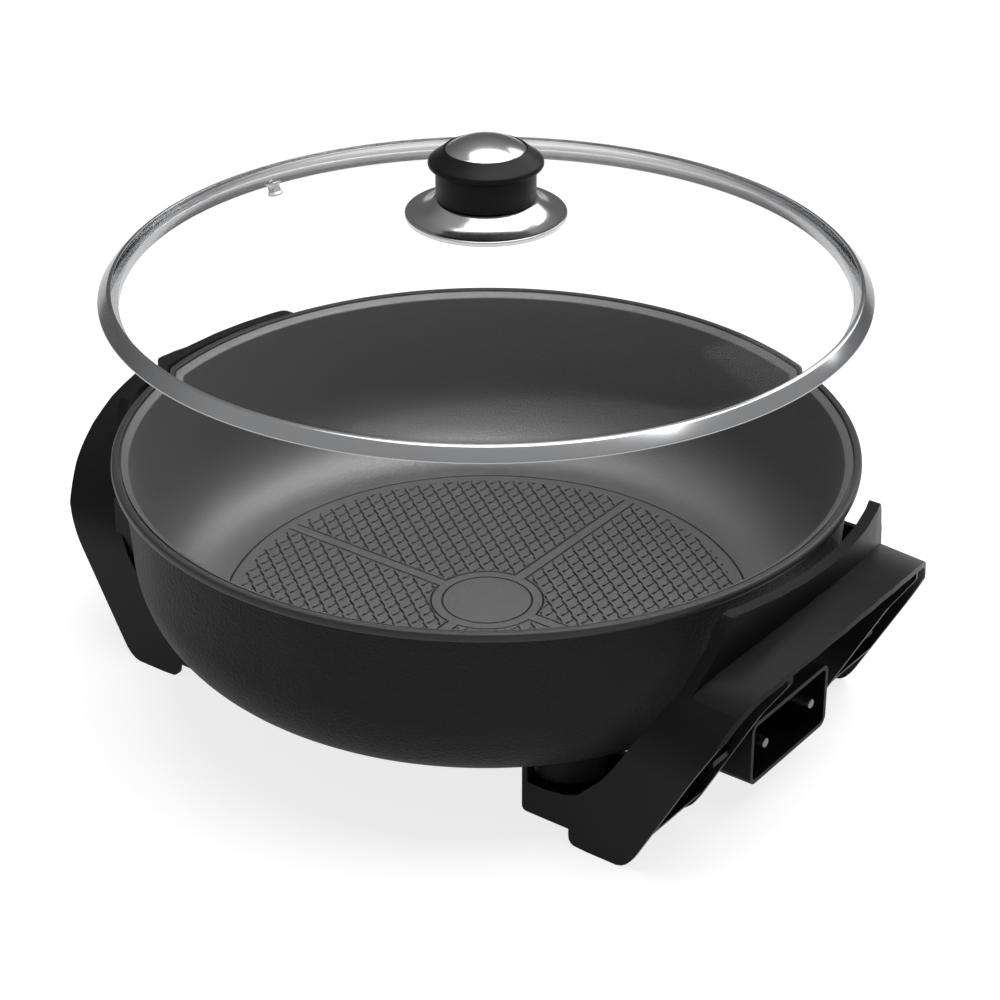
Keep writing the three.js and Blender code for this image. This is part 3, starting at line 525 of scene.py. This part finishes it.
def make_pan():
    """The bowl, turned in one piece from the middle of its base round its rim to its floor."""
    corner_centre = (WALL_FOOT - CORNER[0], BASE_HEIGHT + CORNER[1])
    cove_centre = (COVE_RADIUS - COVE[0], FLOOR_HEIGHT + COVE[1])
    outside = [Vector((0.0, BASE_HEIGHT)), Vector((corner_centre[0] - 1.0, BASE_HEIGHT))]
    outside += quarter(corner_centre, CORNER, -90, 0)
    rim = rounded(
        [
            (WALL_FOOT, BASE_HEIGHT + CORNER[1], 0.0),
            (MOUTH_RADIUS + NECK_OUT, BEAD_TOP - NECK_DROP, 1.0),
            (RIM_RADIUS, BEAD_TOP - BEAD_DEPTH, 1.8),
            (RIM_RADIUS, BEAD_TOP, 1.9),
            (RIM_RADIUS - BEAD_WIDTH, BEAD_TOP, 1.3),
            (RIM_RADIUS - BEAD_WIDTH, BEAD_TOP - GROOVE_DEPTH, 0.2),
            (RIM_RADIUS - LEDGE_INSET, BEAD_TOP - GROOVE_DEPTH, 0.2),
            (RIM_RADIUS - LEDGE_INSET, BEAD_TOP - LEDGE_DROP, 0.4),
            (MOUTH_RADIUS, BEAD_TOP - MOUTH_DROP, 0.8),
            (COVE_RADIUS, FLOOR_HEIGHT + COVE[1], 0.0),
        ],
        closed=False,
    )
    inside = quarter(cove_centre, COVE, 0, -90)
    inside += [Vector((r, FLOOR_HEIGHT)) for r in (PATTERN_RING + 1.0, 60.0, 0.0)]
    outline = outside + rim[1:] + inside[1:]
    pan = turned("pan_bowl", outline, steps=ROUND_STEPS, closed=False)
    dress(pan, [enamel, nonstick, bead_enamel], "pan", ["pan_body"])
    # The coating lies on what faces up or inwards from the groove to the floor.
    for face in pan.data.polygons:
        radial = Vector((face.center.x, face.center.y, 0.0))
        inner = face.normal.z > 0.3 or face.normal.dot(radial) < 0
        above = face.center.z > (FLOOR_HEIGHT - 1.0) * MM
        if inner and above and radial.length < (RIM_RADIUS - COATING_EDGE) * MM:
            face.material_index = 1
        elif face.center.z > (BEAD_TOP - BEAD_DEPTH) * MM:
            face.material_index = 2
    return pan


def make_underside():
    """The bosses, the element's ridge and the terminal block, kept from the CAD casting."""
    bm = bmesh.new()
    bm.from_mesh(nodes["pan_body"].data)
    bmesh.ops.remove_doubles(bm, verts=bm.verts, dist=MERGE)
    wall = [
        f for f in bm.faces
        if f.normal.z > 0.05
        or abs(f.calc_center_median().z - BASE_HEIGHT * MM) < 0.01 * MM
        or f.calc_center_median().z > (BASE_HEIGHT + UNDERSIDE_REACH) * MM
    ]
    bmesh.ops.delete(bm, geom=wall, context="FACES")
    bmesh.ops.dissolve_limit(
        bm, angle_limit=FLAT, verts=bm.verts, edges=bm.edges, delimit={"NORMAL"},
    )
    under = made("pan_underside", bm)
    dress(under, [enamel], "pan")
    return eased(under, 0.5, segments=2)


def make_moulding(node, width):
    """A phenolic moulding kept from its CAD node, with its edges rounded."""
    moulding = cad_copy(node + "_moulding", node)
    dress(moulding, [phenolic], "pan", [node], smooth=24.0)
    return eased(moulding, width)


def make_leg_ribs():
    """A rib in each moulding from one leg to the pan, which stops the light between the two."""
    for name, side in (("socket_end_leg_rib", 1), ("plain_end_leg_rib", -1)):
        start, end = (
            Vector((side * along, side * across, height)) * MM
            for along, across, height in zip(RIB_ALONG, RIB_ACROSS, RIB_HEIGHTS)
        )
        span = end - start
        stretch = Matrix.Diagonal((abs(span.x), abs(span.y), span.z, 1.0))
        bm = bmesh.new()
        bmesh.ops.create_cube(bm, size=1.0, matrix=Matrix.Translation((start + end) / 2) @ stretch)
        rib = made(name, bm)
        dress(rib, [phenolic], "pan", smooth=24.0)
        eased(rib, 0.4, segments=2)


def make_element():
    tube = cad_copy("element_sheath", "heating_element")
    return dress(tube, [sheath], "pan", ["heating_element"], smooth=60.0)


def finish_small_parts():
    """Gives the CAD's own pins, bushes, screws, washers and seal their finishes."""
    finishes = {
        "pin": nickel, "bush": ceramic, "screw": zinc, "washer": zinc, "knob_seal": silicone,
    }
    for node, obj in nodes.items():
        for word, finish in finishes.items():
            if word in node:
                obj.data.materials.clear()
                obj.data.materials.append(finish)


def dome_points(radius, height, reach, steps=40):
    """Points of a shallow dome from its crown, which is at the given height, out to its edge."""
    reaches = [reach * k / steps for k in range(steps + 1)]
    return [Vector((r, height - radius + math.sqrt(radius**2 - r**2))) for r in reaches]


def make_glass():
    reach = GLASS_RADIUS - 0.6
    over = dome_points(DOME_RADIUS, DOME_HEIGHT, reach)
    under = dome_points(DOME_RADIUS - GLASS_THICKNESS, DOME_HEIGHT - GLASS_THICKNESS, reach)
    middle = (over[-1].y + under[-1].y) / 2
    half = 0.8
    edge = [Vector((GLASS_RADIUS, middle + half)), Vector((GLASS_RADIUS, middle - half))]
    pane = turned("glass_dome", over + edge + under[::-1], LID_HEIGHT, ROUND_STEPS, closed=False)
    return dress(pane, [glass], "lid", ["lid_glass"], smooth=40.0)


def make_band():
    """The rolled strip: a cone outside, a lip over the glass and a skirt inside the rim."""
    skirt = MOUTH_RADIUS - 0.5
    cone = LID_RADIUS - 4.7
    lip = cone - 1.8
    crest = 6.2
    sheet = 0.6
    outline = rounded([
        (LID_RADIUS, 0.0, 0.2),
        (LID_RADIUS, 0.7, 0.5),
        (cone, 5.7, 0.5),
        (lip, crest, 0.25),
        (lip, crest - sheet, 0.2),
        (cone - 0.6, 5.6 - sheet, 0.3),
        (LID_RADIUS - 1.3, sheet, 0.3),
        (skirt - sheet, sheet, 0.5),
        (skirt - sheet, -SKIRT_DEPTH, 0.25),
        (skirt, -SKIRT_DEPTH, 0.25),
        (skirt, 0.0, 0.5),
    ])
    band = turned("lid_band_rolled", outline, LID_HEIGHT, ROUND_STEPS)
    return dress(band, [band_steel], "lid", ["lid_band"], smooth=40.0)


def make_vent():
    """The eyelet, turned on the axis of the dome's ball and then leaned to its place on it."""
    under = -GLASS_THICKNESS - 0.3
    outline = rounded([
        (1.8, under - 3.4, 0.2),
        (3.7, under - 3.4, 0.3),
        (3.7, under - 2.6, 0.3),
        (3.0, under - 1.8, 0.3),
        (3.0, 0.2, 0.1),
        (3.9, 0.2, 0.3),
        (3.9, 1.3, 0.6),
        (1.8, 1.3, 0.5),
    ])
    vent = turned("steam_vent_eyelet", outline, DOME_RADIUS, VENT_STEPS)
    tilt = Matrix.Rotation(-math.asin(VENT_REACH / DOME_RADIUS), 4, "Y")
    rise = Matrix.Translation((0, 0, (LID_HEIGHT + DOME_HEIGHT - DOME_RADIUS) * MM))
    vent.data.transform(rise @ tilt)
    return dress(vent, [mirror_steel], "lid", ["steam_vent"], smooth=50.0)


def make_knob():
    """The knob's plate, collar, grip and cap, each turned to the size of its CAD node."""
    seat = low("knob_plate").z
    rise = high("knob_plate").z - seat
    rim = high("knob_plate").y
    plate = rounded([
        (rim - 1.0, 0.0, 0.2),
        (rim, 0.0, 0.3),
        (rim, 2.3, 0.7),
        (rim - 2.2, 2.2, 1.2),
        (30.4, 3.6, 4.0),
        (26.2, 6.6, 3.0),
        (23.6, rise, 1.6),
        (3.0, rise, 0.0),
        (3.0, rise - 1.0, 0.0),
        (23.0, rise - 1.0, 1.2),
        (25.6, 5.7, 3.0),
        (30.2, 2.6, 4.0),
        (rim - 2.2, 1.2, 1.0),
        (rim - 1.0, 1.1, 0.3),
    ], steps=8)
    dress(
        turned("knob_plate_spun", plate, seat),
        [mirror_steel], "lid", ["knob_plate"], 50.0,
    )

    neck = high("knob_collar").y
    tall = high("knob_collar").z - low("knob_collar").z
    collar = rounded([
        (3.0, 0.0, 0.0), (neck, 0.0, 0.8), (neck, tall, 0.5), (3.0, tall, 0.0),
    ])
    dress(
        turned("knob_collar_moulded", collar, low("knob_collar").z),
        [phenolic], "lid", ["knob_collar"], 50.0,
    )

    wide = high("knob_grip").y
    deep = high("knob_grip").z - low("knob_grip").z
    cap_rim = high("knob_cap").y
    grip = rounded([
        (0.0, 1.0, 0.0),
        (neck - 1.0, 1.0, 0.3),
        (neck - 0.2, 0.1, 0.4),
        (wide - 1.5, 0.5, 0.8),
        (wide, 1.7, 1.3),
        (wide - 0.4, 3.6, 1.6),
        (cap_rim + 3.2, deep - 2.4, 3.0),
        (cap_rim + 0.4, deep, 0.5),
        (cap_rim + 0.3, deep - 1.1, 0.0),
        (0.0, deep - 1.1, 0.0),
    ], closed=False, steps=8)
    dress(
        turned("knob_grip_moulded", grip, low("knob_grip").z),
        [phenolic], "lid", ["knob_grip"], 50.0,
    )

    cap_rise = high("knob_cap").z - low("knob_cap").z
    over = (cap_rim**2 + cap_rise**2) / (2 * cap_rise)
    top = dome_points(over, cap_rise, cap_rim - 0.2, steps=30)
    lip = [Vector((cap_rim, 0.1)), Vector((cap_rim - 0.3, -0.1)), Vector((cap_rim - 0.9, 0.0))]
    under = dome_points(over, cap_rise - 0.8, cap_rim - 1.2, steps=20)[::-1]
    cap = turned("knob_cap_pressed", top + lip + under, low("knob_cap").z, closed=False)
    dress(cap, [mirror_steel], "lid", ["knob_cap"], 50.0)


def studio_floor():
    bm = bmesh.new()
    bmesh.ops.create_grid(bm, x_segments=1, y_segments=1, size=12.0)
    floor = made("studio_floor", bm)
    # Matt pale paint. Where the camera or the glass sees it, it is lifted to the white of the
    # backdrop, and a little less in a mirror. It keeps the skillet's shadow.
    camera_lift = 0.8
    mirror_lift = 0.5
    material, tree, shader = surface("pale_floor_paint", Base_Color=srgb("#bcbcbc"), Roughness=0.9)
    seen = tree.nodes.new("ShaderNodeLightPath")
    lift = add(
        tree, "Math", {0: seen.outputs["Is Camera Ray"], 1: seen.outputs["Is Transmission Ray"]},
        operation="MAXIMUM",
    )
    lift = add(tree, "Math", {0: lift, 1: camera_lift}, operation="MULTIPLY")
    mirrored = add(
        tree, "Math", {0: seen.outputs["Is Glossy Ray"], 1: mirror_lift}, operation="MULTIPLY",
    )
    lift = add(tree, "Math", {0: lift, 1: mirrored}, operation="MAXIMUM")
    shader.inputs["Emission Color"].default_value = (1.0, 1.0, 1.0, 1.0)
    tree.links.new(lift, shader.inputs["Emission Strength"])
    floor.data.materials.append(material)
    return floor


def soft_box(name, azimuth, tilt, distance, size, energy):
    """An area lamp that faces a point above the pan's base, leaned towards an azimuth."""
    aim = 0.1
    lamp = bpy.data.lights.new(name, "AREA")
    lamp.shape = "RECTANGLE"
    lamp.size, lamp.size_y = size
    lamp.energy = energy
    turn, lean = math.radians(azimuth), math.radians(tilt)
    reach = distance * math.sin(lean)
    obj = bpy.data.objects.new(name, lamp)
    rise = aim + distance * math.cos(lean)
    obj.location = (reach * math.sin(turn), -reach * math.cos(turn), rise)
    obj.rotation_euler = (lean, 0.0, turn)
    bpy.context.scene.collection.objects.link(obj)
    return obj


def studio_world():
    # The camera and the glass see a white backdrop. Mirrors see the studio's walls and ceiling,
    # dark far off at the left, grey overhead and lighter on the camera's side, and the light
    # that these give is dim, so that the lamps shape the skillet.
    world = bpy.data.worlds.new("studio")
    world.use_nodes = True
    tree = world.node_tree
    seen = tree.nodes.new("ShaderNodeLightPath")
    turn = math.radians(50.0)
    level, upright = 0.75, 0.65
    light_side = (level * math.sin(turn), -level * math.cos(turn), upright)
    dim = 0.16
    around = add(tree, "TexCoord", output="Object")
    towards = add(
        tree, "VectorMath", {0: around, 1: light_side}, output="Value", operation="DOT_PRODUCT",
    )
    backdrop = add(tree, "MapRange", {
        "Value": towards, "From Min": -0.7, "From Max": 0.25, "To Min": 0.04, "To Max": 0.4,
    })
    mirrored = add(
        tree, "Math", {0: backdrop, 1: seen.outputs["Is Glossy Ray"]}, operation="MULTIPLY",
    )
    white = add(
        tree, "Math", {0: seen.outputs["Is Camera Ray"], 1: seen.outputs["Is Transmission Ray"]},
        operation="MAXIMUM",
    )
    strength = add(tree, "Math", {0: white, 1: mirrored}, operation="MAXIMUM")
    strength = add(tree, "Math", {0: strength, 1: dim}, operation="MAXIMUM")
    tree.links.new(strength, tree.nodes["Background"].inputs["Strength"])
    tree.nodes["Background"].inputs["Color"].default_value = (1.0, 1.0, 1.0, 1.0)
    bpy.context.scene.world = world


def photo_camera():
    """The photograph's camera, by its direction, distance and aim."""
    azimuth, elevation = math.radians(36.407), math.radians(28.65)
    distance = 1.31619
    target = Vector((0.0130, -0.0068, 0.1041))
    camera = bpy.data.cameras.new("camera")
    camera.lens = 98.21
    camera.sensor_width = 36.0
    obj = bpy.data.objects.new("camera", camera)
    back = Vector((
        math.sin(azimuth) * math.cos(elevation),
        -math.cos(azimuth) * math.cos(elevation),
        math.sin(elevation),
    ))
    obj.location = target + back * distance
    obj.rotation_euler = (math.pi / 2 - elevation, 0.0, azimuth)
    bpy.context.scene.collection.objects.link(obj)
    bpy.context.scene.camera = obj


make_pan()
make_underside()
make_moulding("handle_socket_end", 0.7)
make_moulding("handle_plain_end", 0.7)
make_leg_ribs()
make_moulding("socket_shroud", 0.4)
make_element()
finish_small_parts()
make_glass()
make_band()
make_vent()
make_knob()

studio_floor()
studio_world()
soft_box(
    "overhead_light", azimuth=130.0, tilt=11.0, distance=1.5, size=(1.3, 1.6), energy=24.0,
)
soft_box("right_light", azimuth=166.0, tilt=54.0, distance=1.6, size=(0.8, 0.8), energy=5.0)
photo_camera()
bpy.context.scene.view_settings.view_transform = "Standard"
